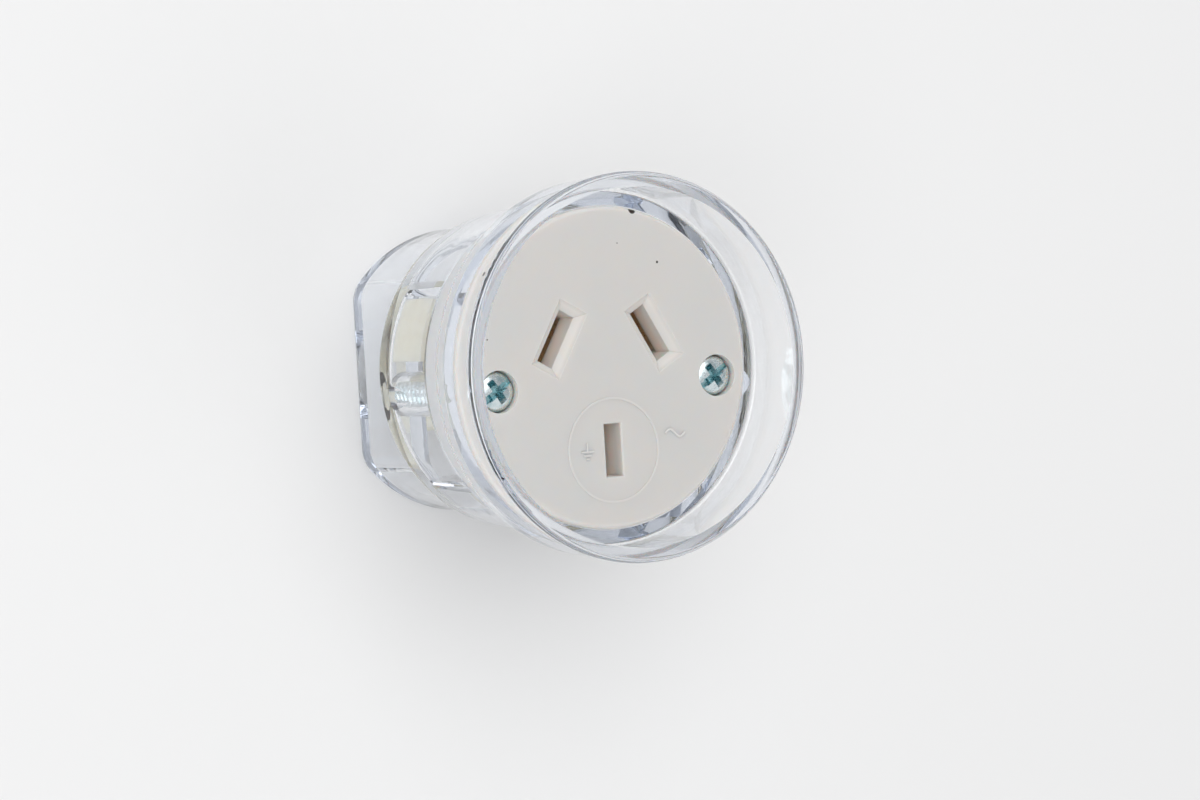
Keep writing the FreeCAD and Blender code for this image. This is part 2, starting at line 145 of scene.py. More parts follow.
class InsertLook(bpy.types.PropertyGroup):
    """Warm grey plastic of the slotted insert and its raised signs."""
    colour: FloatVectorProperty(
        name="Colour", description="Colour of the insert",
        subtype="COLOR", size=3, min=0, max=1, default=(0.60, 0.593, 0.577))
    warm_colour: FloatVectorProperty(
        name="Warm colour", description="Colour of the warmer patches",
        subtype="COLOR", size=3, min=0, max=1, default=(0.615, 0.598, 0.575))
    # Painted highlight: bevels, walls just below the face and raised signs are painted lighter.
    bevel_highlight_colour: FloatVectorProperty(
        name="Bevel colour", description="Lighter colour of the bevels and of the raised signs",
        subtype="COLOR", size=3, min=0, max=1, default=(0.72, 0.70, 0.67))
    # Painted glow: deep inside the slots the walls are painted warm and light, for light spreading through the
    # plastic.
    painted_glow_colour: FloatVectorProperty(
        name="Glow colour", description="Colour deep in the slots, where light glows through the plastic",
        subtype="COLOR", size=3, min=0, max=1, default=(0.93, 0.82, 0.74))
    # Painted light: the outer side, deep below the face, is painted lighter to lift the shade it lies in.
    side_painted_light_colour: FloatVectorProperty(
        name="Side colour", description="Colour of the insert's outer side, seen through the clear body",
        subtype="COLOR", size=3, min=0, max=1, default=(0.765, 0.763, 0.76))
    grain_size: FloatProperty(
        name="Grain size", description="Size of the fine grain of the mould",
        unit="LENGTH", min=0.00001, default=0.00018)
    grain_height: FloatProperty(
        name="Grain height", description="Height of that grain",
        unit="LENGTH", min=0, default=0.000006)
    speck_colour: FloatVectorProperty(
        name="Speck colour", description="Colour of the specks of dirt on the face",
        subtype="COLOR", size=3, min=0, max=1, default=(0.02, 0.012, 0.008))


class CreamLook(bpy.types.PropertyGroup):
    """Cream plastic of the retainer and the clamp bar."""
    colour: FloatVectorProperty(
        name="Colour", description="Colour of the cream plastic",
        subtype="COLOR", size=3, min=0, max=1, default=(0.82, 0.79, 0.655))
    dark_colour: FloatVectorProperty(
        name="Flow colour", description="Colour of the darker flow marks",
        subtype="COLOR", size=3, min=0, max=1, default=(0.76, 0.72, 0.57))
    flow_size: FloatProperty(
        name="Flow size", description="Width of the flow marks",
        unit="LENGTH", min=0.0001, default=0.004)


class BrassLook(bpy.types.PropertyGroup):
    """Brass of the contacts, terminals and rivets."""
    colour: FloatVectorProperty(
        name="Colour", description="Colour of clean brass",
        subtype="COLOR", size=3, min=0, max=1, default=(0.82, 0.61, 0.31))
    stain_colour: FloatVectorProperty(
        name="Stain colour", description="Colour of the duller patches",
        subtype="COLOR", size=3, min=0, max=1, default=(0.66, 0.45, 0.21))
    strip_colour: FloatVectorProperty(
        name="Strip colour", description="Colour of the pressed strip, which is paler than the blocks",
        subtype="COLOR", size=3, min=0, max=1, default=(0.80, 0.70, 0.56))
    strip_stain: FloatVectorProperty(
        name="Strip stain", description="Colour of the duller patches of the strip",
        subtype="COLOR", size=3, min=0, max=1, default=(0.70, 0.58, 0.44))
    stain_size: FloatProperty(
        name="Stain size", description="Size of the duller patches",
        unit="LENGTH", min=0.0001, default=0.0025)


class ZincLook(bpy.types.PropertyGroup):
    """Blue zinc plate of the screws."""
    colour: FloatVectorProperty(
        name="Colour", description="Colour of the plating on flat surfaces",
        subtype="COLOR", size=3, min=0, max=1, default=(0.66, 0.73, 0.75))
    # Darker, bluer colour of some patches and of a band that holds the walls of the driver recess.
    blue_colour: FloatVectorProperty(
        name="Blue colour", description="Colour where the plating is thick, as in the recess",
        subtype="COLOR", size=3, min=0, max=1, default=(0.25, 0.46, 0.50))
    patch_size: FloatProperty(
        name="Patch size", description="Size of the patches in the plating",
        unit="LENGTH", min=0.0001, default=0.0011)
    roughness: FloatProperty(
        name="Roughness", description="Roughness of the plating",
        subtype="FACTOR", min=0, max=1, default=0.24)


class ScrewSizes(bpy.types.PropertyGroup):
    """Sizes of the screws that the solids leave plain."""
    pitch: FloatProperty(
        name="Pitch", description="Pitch of the long thread-forming screws",
        unit="LENGTH", min=0.0002, default=0.0011)
    thread_depth: FloatProperty(
        name="Thread depth", description="Depth of their thread",
        unit="LENGTH", min=0, default=0.00035)
    small_pitch: FloatProperty(
        name="Small pitch", description="Pitch of the small machine screws",
        unit="LENGTH", min=0.0002, default=0.0005)
    small_thread_depth: FloatProperty(
        name="Small thread depth", description="Depth of their thread",
        unit="LENGTH", min=0, default=0.00022)
    columns: IntProperty(
        name="Columns", description="Faces round a screw", min=16, default=64)


class SignSizes(bpy.types.PropertyGroup):
    """Raised signs on the face of the insert."""
    bead: FloatProperty(
        name="Bead", description="Width of the raised lines",
        unit="LENGTH", min=0.00005, default=0.00034)
    height: FloatProperty(
        name="Height", description="How far the lines stand up",
        unit="LENGTH", min=0.00001, default=0.00009)
    wave_place: FloatVectorProperty(
        name="Wave place", description="Middle of the wave on the face",
        subtype="TRANSLATION", size=2, default=(0.0091, -0.0088))
    wave_length: FloatProperty(
        name="Wave length", description="Length of the wave",
        unit="LENGTH", min=0.0005, default=0.0029)
    ground_place: FloatVectorProperty(
        name="Ground place", description="Middle of the ground sign beside the earth slot",
        subtype="TRANSLATION", size=2, default=(-0.0038, -0.0103))
    ground_width: FloatProperty(
        name="Ground width", description="Width of the ground sign",
        unit="LENGTH", min=0.0005, default=0.0018)


class StageLook(bpy.types.PropertyGroup):
    """Floor, light and camera."""
    floor_colour: FloatVectorProperty(
        name="Floor colour", description="Colour of the pale floor",
        subtype="COLOR", size=3, min=0, max=1, default=(0.85, 0.848, 0.844))
    floor_size: FloatProperty(
        name="Floor size", description="Side of the floor",
        unit="LENGTH", min=0.2, default=3.0)
    floor_gap: FloatProperty(
        name="Floor gap", description="Room between the floor and the tail, so that their faces stay apart",
        unit="LENGTH", min=0, default=0.00002)
    sky_low: FloatVectorProperty(
        name="Sky at the horizon", description="Colour of the surroundings at floor level",
        subtype="COLOR", size=3, min=0, max=1, default=(0.86, 0.86, 0.86))
    sky_high: FloatVectorProperty(
        name="Sky overhead", description="Colour of the surroundings overhead",
        subtype="COLOR", size=3, min=0, max=1, default=(0.45, 0.455, 0.465))
    sky_bright: FloatVectorProperty(
        name="Bright sky", description="Colour of the bright part of the sky, which the screws mirror",
        subtype="COLOR", size=3, min=0, max=1, default=(0.95, 0.95, 0.95))
    key_power: FloatProperty(
        name="Key power", description="Power of the large soft lamp", unit="POWER", min=0, default=10.5)
    key_place: FloatVectorProperty(
        name="Key place", description="Place of the large soft lamp",
        subtype="TRANSLATION", size=3, default=(-0.35, 0.42, 1.25))
    key_size: FloatProperty(
        name="Key size", description="Side of the large soft lamp", unit="LENGTH", min=0.01, default=1.2)
    fill_power: FloatProperty(
        name="Fill power", description="Power of the side lamp", unit="POWER", min=0, default=3)
    fill_place: FloatVectorProperty(
        name="Fill place", description="Place of the side lamp",
        subtype="TRANSLATION", size=3, default=(-0.9, -0.35, 1.0))
    fill_size: FloatProperty(
        name="Fill size", description="Side of the side lamp", unit="LENGTH", min=0.01, default=0.7)
    camera_place: FloatVectorProperty(
        name="Camera place", description="Place of the camera",
        subtype="TRANSLATION", size=3, default=(-0.26277, 0.01404, 0.48323))
    camera_turn: FloatVectorProperty(
        name="Camera turn", description="Turn of the camera",
        subtype="EULER", size=3,
        default=(math.radians(-0.008), math.radians(-30.598), math.radians(-3.926)))
    lens: FloatProperty(
        name="Lens", description="Focal length on a sensor 36 mm wide",
        unit="CAMERA", min=10, default=123.93)


class SocketSettings(bpy.types.PropertyGroup):
    """Every size and colour that can be changed."""
    clear: PointerProperty(type=ClearLook)
    insert: PointerProperty(type=InsertLook)
    cream: PointerProperty(type=CreamLook)
    brass: PointerProperty(type=BrassLook)
    zinc: PointerProperty(type=ZincLook)
    screws: PointerProperty(type=ScrewSizes)
    signs: PointerProperty(type=SignSizes)
    stage: PointerProperty(type=StageLook)


class Value:
    """A shader socket. Arithmetic on it adds Math nodes."""

    def __init__(self, paint, socket):
        self.paint = paint
        self.socket = socket

    def math(self, operation, first, second):
        return self.paint.add("ShaderNodeMath", {"operation": operation}, {0: first, 1: second})

    def __add__(self, other):
        return self.math("ADD", self, other)

    def __radd__(self, other):
        return self.math("ADD", other, self)

    def __sub__(self, other):
        return self.math("SUBTRACT", self, other)

    def __rsub__(self, other):
        return self.math("SUBTRACT", other, self)

    def __lt__(self, other):
        return self.math("LESS_THAN", self, other)

    def __gt__(self, other):
        return self.math("GREATER_THAN", self, other)


class Paint:
    """The node tree of a material or of the world."""

    def __init__(self, tree):
        self.tree = tree
        tree.nodes.clear()

    def add(self, kind, settings=None, values=None, output=0):
        """Adds a node: its settings first, then what its sockets hold or are linked to."""
        node = self.tree.nodes.new(kind)
        for name, value in (settings or {}).items():
            if name == "stops":
                set_stops(node.color_ramp, value)
            else:
                setattr(node, name, value)
        for name, value in (values or {}).items():
            if isinstance(value, Value):
                self.tree.links.new(value.socket, node.inputs[name])
            else:
                node.inputs[name].default_value = value
        return Value(self, node.outputs[output]) if node.outputs else None

    def place(self):
        """Point on the surface, in metres."""
        return self.add("ShaderNodeTexCoord", output="Object")

    def level(self):
        """Height of the point on the surface, in metres."""
        return self.add("ShaderNodeSeparateXYZ", None, {0: self.place()}, "Z")

    def vector_math(self, operation, first, second=(0, 0, 0)):
        """A product of vectors, or the number that is their distance, dot product or length."""
        output = "Vector" if operation == "MULTIPLY" else "Value"
        return self.add("ShaderNodeVectorMath", {"operation": operation}, {0: first, 1: second}, output)

    def noise(self, size, detail=2.0, distortion=0.0):
        """Soft noise from 0 to 1, with patches of a size in metres."""
        values = {"Vector": self.place(), "Scale": 1.0 / size, "Detail": detail, "Distortion": distortion}
        return self.add("ShaderNodeTexNoise", None, values, "Fac")

    def spread(self, value, low, high, to_low, to_high):
        """Value between two limits, mapped to two others."""
        values = {"Value": value, "From Min": low, "From Max": high, "To Min": to_low, "To Max": to_high}
        return self.add("ShaderNodeMapRange", {"clamp": True}, values)

    def follow(self, noise, low, high):
        """Value that rises from low to high over the middle range of a noise."""
        return self.spread(noise, 0.3, 0.7, low, high)

    def blend(self, share, first, second):
        """Mix of two colours."""
        settings = {"data_type": "RGBA"}
        values = {"Factor": share, 6: colour(first), 7: colour(second)}
        return self.add("ShaderNodeMix", settings, values, 2)

    def bump(self, height, distance):
        """Normal of a surface with that height, in metres."""
        return self.add("ShaderNodeBump", None, {"Height": height, "Distance": distance, "Strength": 1.0})

    def surface(self, **values):
        """Principled surface. Names are the socket names, with _ for a space."""
        named = {name.replace("_", " "): value for name, value in values.items()}
        return self.add("ShaderNodeBsdfPrincipled", None, named)

    def finish(self, shader, volume=None):
        """Links a shader, and what fills the material if anything does, to the output."""
        links = {"Surface": shader}
        if volume is not None:
            links["Volume"] = volume
        self.add("ShaderNodeOutputMaterial", None, links)


def colour(value):
    """A colour as four numbers, or a link as it is."""
    return value if isinstance(value, Value) else (*value, 1.0)


def set_stops(ramp, stops):
    """Gives a colour ramp its (place, colour) stops."""
    while len(ramp.elements) < len(stops):
        ramp.elements.new(0.5)
    for element, (place, shade) in zip(ramp.elements, stops):
        element.position = place
        element.color = (*shade, 1.0)


def new_material(name):
    """Empty material and its node tree."""
    material = bpy.data.materials.new(name)
    material.use_nodes = True
    return material, Paint(material.node_tree)


def clear_plastic(look):
    """Polished clear plastic with slow moulding ripples and one speck of dirt. Lamps shine through it."""
    material, paint = new_material("clear_polycarbonate")
    ripple = paint.noise(look.ripple_size, detail=1.0, distortion=0.4)
    haze = paint.noise(look.ripple_size / 4, detail=3.0)
    shine = paint.surface(
        Base_Color=paint.blend(speck_mask(paint, RING_SPECKS), look.tint, look.speck_colour),
        Roughness=paint.follow(haze, look.roughness * 0.5, look.roughness * 1.5),
        IOR=look.ior,
        Transmission_Weight=1.0,
        Normal=paint.bump(ripple, look.ripple_height),
    )
    through = paint.add("ShaderNodeBsdfTransparent", None, {"Color": colour(look.lamp_tint)})
    from_lamp = paint.add("ShaderNodeLightPath", output="Is Shadow Ray")
    inside = {"Color": colour(look.depth_tint), "Density": look.depth}
    depth = paint.add("ShaderNodeVolumeAbsorption", None, inside)
    paint.finish(paint.add("ShaderNodeMixShader", None, {0: from_lamp, 1: shine, 2: through}), depth)
    return material


def speck_mask(paint, specks):
    """One on small round specks, at (x, y, z, radius) in metres, and zero elsewhere."""
    mask = None
    for x, y, z, radius in specks:
        spot = paint.vector_math("DISTANCE", paint.place(), (x, y, z)) < radius
        mask = spot if mask is None else mask + spot
    return mask


def insert_plastic(look, name, face_z, glow):
    """Satin warm grey plastic with a fine grain and specks of dirt.

    It is painted lighter on bevels, on walls just below the face and on signs, a painted highlight; deep in
    the slots it has a painted warm glow, and on its outer side painted light that lifts its shade.
    Glow is the share of light that spreads inside it, which thick parts have and thin ones don't."""
    bevel_low, bevel_high = face_z - 0.0004, face_z - 0.00004
    sign_low, sign_high, sign_highlight_share = face_z + 0.00001, face_z + 0.00006, 0.45
    deep_low, deep_high = face_z - 0.0035, face_z - 0.0016
    slot_reach, side_reach = 0.0150, 0.0165
    patch_size = 0.009
    material, paint = new_material(name)
    patches = paint.noise(patch_size, detail=2.0)
    grain = paint.noise(look.grain_size, detail=2.0)
    face = paint.blend(paint.spread(patches, 0.35, 0.65, 0.0, 1.0), look.colour, look.warm_colour)
    level = paint.level()
    # Painted highlight: lighter on the bevels, on walls just below the face, and on the raised signs.
    bevels = paint.spread(level, bevel_low, bevel_high, 1.0, 0.0)
    signs = paint.spread(level, sign_low, sign_high, 0.0, sign_highlight_share)
    upper = paint.blend(bevels + signs, face, look.bevel_highlight_colour)
    # Deep below the face: a painted warm glow inside the slots, and painted light on the outer side, where
    # shade falls.
    reach = paint.vector_math("LENGTH", paint.vector_math("MULTIPLY", paint.place(), (1, 1, 0)))
    outer = paint.spread(reach, slot_reach, side_reach, 0.0, 1.0)
    lower = paint.blend(outer, look.painted_glow_colour, look.side_painted_light_colour)
    plain = paint.blend(paint.spread(level, deep_low, deep_high, 1.0, 0.0), upper, lower)
    specks = [(x, y, face_z + z, radius) for x, y, z, radius in FACE_SPECKS]
    paint.finish(paint.surface(
        Base_Color=paint.blend(speck_mask(paint, specks), plain, look.speck_colour),
        Roughness=paint.follow(grain, 0.42, 0.52),
        Specular_IOR_Level=0.35,
        Subsurface_Weight=glow,
        Subsurface_Radius=(1.0, 0.72, 0.55),
        Subsurface_Scale=0.0018,
        Normal=paint.bump(grain, look.grain_height),
    ))
    return material


def cream_plastic(look):
    """Satin cream plastic with faint flow marks."""
    grain_height = 0.00001
    material, paint = new_material("cream_moulding")
    flow = paint.noise(look.flow_size, detail=3.0, distortion=1.2)
    fine = paint.noise(look.flow_size / 16, detail=2.0)
    paint.finish(paint.surface(
        Base_Color=paint.blend(paint.spread(flow, 0.4, 0.7, 0.0, 1.0), look.colour, look.dark_colour),
        Roughness=paint.follow(fine, 0.40, 0.55),
        Subsurface_Weight=0.8,
        Subsurface_Radius=(1.0, 0.9, 0.7),
        Subsurface_Scale=0.003,
        Normal=paint.bump(fine, grain_height),
    ))
    return material


def brass(look, name, clean, stained, mark_size):
    """Brass with duller patches, and the marks of the press or the lathe."""
    mark_height = 0.000008
    material, paint = new_material(name)
    stain = paint.noise(look.stain_size, detail=4.0)
    marks = paint.noise(mark_size, detail=1.0)
    paint.finish(paint.surface(
        Base_Color=paint.blend(paint.spread(stain, 0.45, 0.7, 0.0, 1.0), clean, stained),
        Metallic=1.0,
        Roughness=paint.spread(stain + marks, 0.7, 1.3, 0.22, 0.42),
        Normal=paint.bump(marks, mark_height),
    ))
    return material


def zinc_plate(look, name, top_z=None):
    """Clear blue zinc plate, patchy, and darker and bluer on the walls of the recess of a head that ends at
    top_z.
    """
    patch_height = 0.00002
    material, paint = new_material(name)
    patches = paint.noise(look.patch_size, detail=4.0, distortion=0.6)
    fine = paint.noise(look.patch_size / 6, detail=2.0)
    blue = paint.spread(patches, 0.50, 0.75, 0.0, 0.7)
    if top_z is not None:
        # A band from about 0.5 to 1.8 mm below the top of the head, which holds the walls of the recess, is
        # darker and bluer.
        recess_share = 0.9
        rim_low, rim_high = top_z - 0.0007, top_z - 0.0004
        floor_low, floor_high = top_z - 0.0020, top_z - 0.0016
        level = paint.level()
        blue = blue + paint.spread(level, rim_low, rim_high, recess_share, 0.0)
        blue = blue - paint.spread(level, floor_low, floor_high, recess_share, 0.0)
    paint.finish(paint.surface(
        Base_Color=paint.blend(blue, look.colour, look.blue_colour),
        Metallic=1.0,
        Roughness=paint.follow(fine, look.roughness * 0.7, look.roughness * 1.3),
        Normal=paint.bump(patches, patch_height),
    ))
    return material


def floor_paint(look):
    """Pale floor with a faint mottle."""
    mottle_size = 0.12
    mottle_shade = 0.985
    material, paint = new_material("floor_paint")
    darker = tuple(channel * mottle_shade for channel in look.floor_colour)
    paint.finish(paint.surface(
        Base_Color=paint.blend(paint.noise(mottle_size, detail=3.0), look.floor_colour, darker),
        Roughness=0.9,
        Specular_IOR_Level=0.1,
    ))
    return material


def once(name, make, *values):
    """The material of that name, made the first time it is asked for."""
    return bpy.data.materials.get(name) or make(*values)


def dress(node, material):
    """Gives a solid of the frame its material."""
    solid = nodes[node]
    solid.data.materials.clear()
    solid.data.materials.append(material)


def new_piece(name, mesh, material):
    """Object of the part made here, riding on its one body."""
    mesh.materials.clear()
    mesh.materials.append(material)
    piece = bpy.data.objects.new(name, mesh)
    bpy.context.scene.collection.objects.link(piece)
    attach(piece, "root")
    return piece


def mesh_from(form, name, smooth_angle):
    """Mesh of a bmesh, smooth except at edges sharper than an angle."""
    bmesh.ops.recalc_face_normals(form, faces=form.faces)
    mesh = bpy.data.meshes.new(name)
    form.to_mesh(mesh)
    form.free()
    mesh.shade_smooth()
    mesh.set_sharp_from_angle(angle=smooth_angle)
    return mesh


def turned_corner(corner, normal):
    """Whether a surface turned about the axis of the socket could have that normal at a corner."""
    level_normal = 0.999
    skew = 0.02
    x, y, _ = corner.vert.co
    reach = math.hypot(x, y)
    if reach < TINY or abs(normal.z) > level_normal:
        return False
    return abs(normal.y * x - normal.x * y) < skew * reach


def finer_rounds(solid, name, step):
    """Mesh of a solid with its turned surfaces cut at every step of angle, and brought out to the true circle.

    Light bends at every facet of a clear moulding, so its round walls need more of them than the solid has.
    A face is turned if each of its corners, which keep the solid's normals, could lie on a turned surface."""
    form = bmesh.new()
    form.from_mesh(solid.data)
    normals = iter(solid.data.corner_normals)
    kept = form.loops.layers.float_vector.new("kept_normal")
    reach = form.verts.layers.float.new("reach")
    turned = form.faces.layers.int.new("turned")
    for face in form.faces:
        for corner in face.loops:
            corner[kept] = next(normals).vector
        face[turned] = all(turned_corner(corner, corner[kept]) for corner in face.loops)
    bmesh.ops.remove_doubles(form, verts=form.verts, dist=TINY)
    for vert in form.verts:
        vert[reach] = math.hypot(vert.co.x, vert.co.y)
    count = round(math.pi / step)
    for index in range(count):
        angle = math.pi * (index + 0.5) / count
        faces = [face for face in form.faces if face[turned]]
        edges = list(dict.fromkeys(edge for face in faces for edge in face.edges))
        verts = list(dict.fromkeys(vert for face in faces for vert in face.verts))
        across = (-math.sin(angle), math.cos(angle), 0)
        bmesh.ops.bisect_plane(
            form, geom=verts + edges + faces, dist=TINY, plane_co=(0, 0, 0), plane_no=across)
    for face in form.faces:
        if not face[turned]:
            continue
        for corner in face.loops:
            point = corner.vert.co
            out = Vector((point.x, point.y)).normalized()
            point.xy = out * corner.vert[reach]
            rise = corner[kept].normalized().z
            lean = math.copysign(math.sqrt(1 - rise * rise), corner[kept].xy.dot(out))
            corner[kept] = (out.x * lean, out.y * lean, rise)
    mesh = bpy.data.meshes.new(name)
    form.to_mesh(mesh)
    form.free()
    mesh.shade_smooth()
    mesh.normals_split_custom_set([corner.vector for corner in mesh.attributes["kept_normal"].data])
    return mesh


def lathe(rows, columns):
    """Closed turned form. Each row is a radius for every angle, or None on the axis, and its level."""
    form = bmesh.new()
    rings = []
    for radius_at, level in rows:
        if radius_at is None:
            rings.append([form.verts.new((0, 0, level))])
            continue
        ring = []
        for column in range(columns):
            angle = math.tau * column / columns
            radius = radius_at(angle)
            ring.append(form.verts.new((radius * math.cos(angle), radius * math.sin(angle), level)))
        rings.append(ring)
    for lower, upper in zip(rings, rings[1:]):
        for column in range(columns):
            after = (column + 1) % columns
            corners = [lower[column % len(lower)], lower[after % len(lower)]]
            corners += [upper[after % len(upper)], upper[column % len(upper)]]
            form.faces.new(list(dict.fromkeys(corners)))
    return form


def even(radius):
    """Row of the same radius all round."""
    return lambda angle: radius


def threaded(radius, depth, pitch, level):
    """Row of a thread whose crest has that radius."""
    peak = 1.6
    slope = 2.2

    def radius_at(angle):
        turn = (level / pitch - angle / math.tau) % 1.0
        height = min(1.0, max(0.0, peak - abs(2.0 * turn - 1.0) * slope))
        return radius - depth * (1.0 - height)
    return radius_at


def screw_rows(screw, length, pitch, depth):
    """Rows of a screw from its tip to the middle of its head, in millimetres, with the seat at zero."""
    steps_per_turn = 16
    neck = 2 * pitch
    chamfer = 0.1
    round_steps = 6
    round_angle = math.pi / 2 * 0.8
    dome = screw.head_height * 0.16
    dome_radius = screw.head_radius - screw.head_round * 0.7
    shank = screw.shank_radius
    rows = [(None, -length), (even(shank - screw.point / 2 - depth), -length)]
    count = math.ceil((length - neck) / pitch * steps_per_turn)
    for step in range(1, count + 1):
        level = -length + (length - neck) * step / count
        narrowed = max(0.0, (-length + screw.point - level) / screw.point) * screw.point / 2
        rows.append((threaded(shank - narrowed, depth, pitch, level), level))
    rows.append((even(shank - depth), -neck + pitch / 4))
    rows.append((even(shank - depth), -pitch / 4))
    rows.append((even(shank), 0.0))
    rows.append((even(screw.head_radius - chamfer), 0.0))
    rows.append((even(screw.head_radius), chamfer))
    for step in range(round_steps + 1):
        angle = round_angle * step / round_steps
        radius = screw.head_radius - screw.head_round * (1 - math.cos(angle))
        drop = screw.head_round * (math.sin(round_angle) - math.sin(angle))
        rows.append((even(radius), screw.head_height - dome - drop))
    for step in range(1, round_steps):
        share = 1 - step / round_steps
        rows.append((even(dome_radius * share), screw.head_height - dome * share * share))
    rows.append((None, screw.head_height))
    return rows


def prism(side, width):
    """Prism along Y from its outline in XZ, in millimetres."""
    form = bmesh.new()
    near = [form.verts.new((x, -width / 2, z)) for x, z in side]
    far = [form.verts.new((x, width / 2, z)) for x, z in side]
    form.faces.new(near)
    form.faces.new(list(reversed(far)))
    count = len(side)
    for index in range(count):
        after = (index + 1) % count
        form.faces.new([near[after], near[index], far[index], far[after]])
    return form


def applied(piece):
    """Mesh of an object with its modifiers, in place of the object."""
    depsgraph = bpy.context.evaluated_depsgraph_get()
    mesh = bpy.data.meshes.new_from_object(piece.evaluated_get(depsgraph))
    bpy.data.objects.remove(piece)
    return mesh


def cut_away(mesh, tools):
    """Mesh less each of the forms in tools, with its edges eased, in millimetres."""
    edge_round = 0.05
    piece = bpy.data.objects.new("blank", mesh)
    bpy.context.scene.collection.objects.link(piece)
    cutters = []
    for form in tools:
        cutter = bpy.data.objects.new("cutter", mesh_from(form, "cutter", math.pi))
        bpy.context.scene.collection.objects.link(cutter)
        cutters.append(cutter)
        modifier = piece.modifiers.new("cut", "BOOLEAN")
        modifier.operation = "DIFFERENCE"
        modifier.solver = "EXACT"
        modifier.object = cutter
    bevel = piece.modifiers.new("edges", "BEVEL")
    bevel.width = edge_round
    bevel.segments = 2
    bevel.limit_method = "ANGLE"
    bevel.angle_limit = math.radians(40)
    result = applied(piece)
    for cutter in cutters:
        bpy.data.objects.remove(cutter)
    return result


def recess_tools(screw, crossed):
    """Forms of the driver slot and, if crossed, the two wings of the cross in line with it."""
    top = screw.head_height
    above = top + 1.0
    floor = top - screw.slot_depth
    far = 6.0
    tools = [prism([(-far, floor), (far, floor), (far, above), (-far, above)], screw.slot_width)]
    if crossed:
        reach = screw.cross_length / 2
        half = screw.cross_width / 2
        middle = top - screw.cross_depth / 2
        deep = top - screw.cross_depth
        side = [(-reach, above), (-reach, top), (half - reach, middle), (-half, deep)]
        side += [(half, deep), (reach - half, middle), (reach, top), (reach, above)]
        turned = prism(side, screw.cross_width)
        quarter = Matrix.Rotation(math.pi / 2, 3, "Z")
        bmesh.ops.rotate(turned, verts=turned.verts, cent=(0, 0, 0), matrix=quarter)
        tools += [prism(side, screw.cross_width), turned]
    return tools


def screw_mesh(name, sizes, screw, length, crossed=True):
    """Screw in millimetres, head up, with the seat of its head at zero and no hard edges in its thread."""
    thread_top = -0.05
    if screw is LONG_SCREW:
        pitch, depth = sizes.pitch, sizes.thread_depth
    else:
        pitch, depth = sizes.small_pitch, sizes.small_thread_depth
    rows = screw_rows(screw, length, pitch / MM, depth / MM)
    blank = mesh_from(lathe(rows, sizes.columns), name, math.radians(40))
    mesh = cut_away(blank, recess_tools(screw, crossed))
    mesh.name = name
    mesh.shade_smooth()
    mesh.set_sharp_from_angle(angle=math.radians(38))
    for edge in mesh.edges:
        if all(mesh.vertices[index].co.z < thread_top for index in edge.vertices):
            edge.use_edge_sharp = False
    return mesh


def set_screw(node, mesh, head_at, turn, material):
    """Puts a screw where a solid one is: head seat at a point, and the head's way given by a turn."""
    mesh.transform(Matrix.Translation(head_at) @ turn @ Matrix.Scale(MM, 4))
    piece = new_piece(node + "_threaded", mesh, material)
    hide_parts(node)


def middle_of(node):
    """Middle of a solid's box."""
    low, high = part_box(node)
    return (low + high) / 2


def bead_mesh(name, paths, width, height, level):
    """Raised lines with a domed top along paths of (x, y) points, in metres. Their sides go into the face."""
    section = (
        (-0.5, -1.0), (-0.5, 0.0), (-0.42, 0.55), (-0.22, 0.92), (0.0, 1.0),
        (0.22, 0.92), (0.42, 0.55), (0.5, 0.0), (0.5, -1.0),
    )
    count = len(section)
    form = bmesh.new()
    for path in paths:
        rows = []
        points = [Vector((x, y, 0)) for x, y in path]
        for index, point in enumerate(points):
            ahead = points[min(index + 1, len(points) - 1)] - points[max(index - 1, 0)]
            across = Vector((-ahead.y, ahead.x, 0)).normalized() * width
            row = []
            for side, up in section:
                row.append(form.verts.new(point + across * side + Vector((0, 0, level + height * up))))
            rows.append(row)
        for first, second in zip(rows, rows[1:]):
            for index in range(count):
                after = (index + 1) % count
                form.faces.new([first[index], first[after], second[after], second[index]])
        form.faces.new(list(reversed(rows[0])))
        form.faces.new(rows[-1])
    return mesh_from(form, name, math.radians(50))


def wave_path(place, length):
    """One wave, as the sign for alternating current."""
    steps = 28
    rise = length * 0.17
    path = []
    for step in range(steps + 1):
        share = step / steps
        x = place[0] + length * (share - 0.5)
        path.append((x, place[1] + rise * math.sin(math.tau * share)))
    return path


def ground_paths(place, width):
    """Stem and three bars, as the sign for ground."""
    x, y = place
    gap = width * 0.26
    paths = [[(x, y + gap * up) for up in (2.4, 1.6, 0.9, 0.0)]]
    for index, share in enumerate((1.0, 0.62, 0.26)):
        half = width * share / 2
        level = y - gap * index
        paths.append([(x - half, level), (x, level), (x + half, level)])
    return paths


class SOCKET_OT_housing(bpy.types.Operator):
    """Dress the clear body"""
    bl_idname = "socket.housing"
    bl_label = "Clear body"

    def execute(self, context):
        look = context.scene.socket.clear
        mesh = finer_rounds(nodes["clear_housing"], "clear_body", look.facet)
        material = once("clear_polycarbonate", clear_plastic, look)
        piece = new_piece("clear_body", mesh, material)
        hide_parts("clear_housing")
        return {"FINISHED"}


